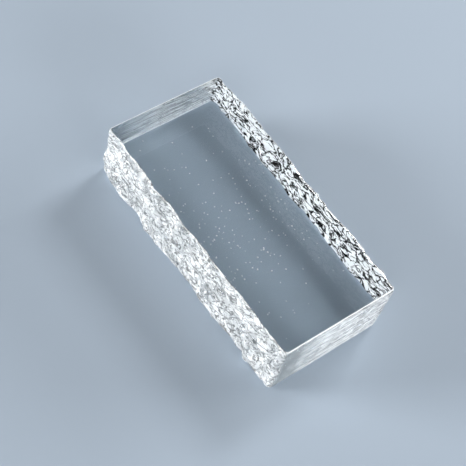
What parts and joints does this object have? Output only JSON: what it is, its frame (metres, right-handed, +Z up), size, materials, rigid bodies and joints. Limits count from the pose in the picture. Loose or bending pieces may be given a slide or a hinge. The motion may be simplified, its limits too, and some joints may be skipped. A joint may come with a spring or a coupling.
{
  "type": "glass block",
  "caption": "Solid clear cast glass building block with smooth flat beds and ends and rugged, ice-like long sides.",
  "frame": {"origin": "middle of the lower bed face, in the plane that the block lies on", "axes": "+X along the block's length, +Y across its width from one rugged long side to the other, +Z up through its thickness, out of the upper bed face"},
  "size_m": [0.2, 0.1, 0.05],
  "materials": {
    "clear_glass": "clear cast glass, fire-polished, very faint green-blue tint"
  },
  "bodies": {
    "root": {"glass_block": "clear_glass"}
  },
  "joints": []
}
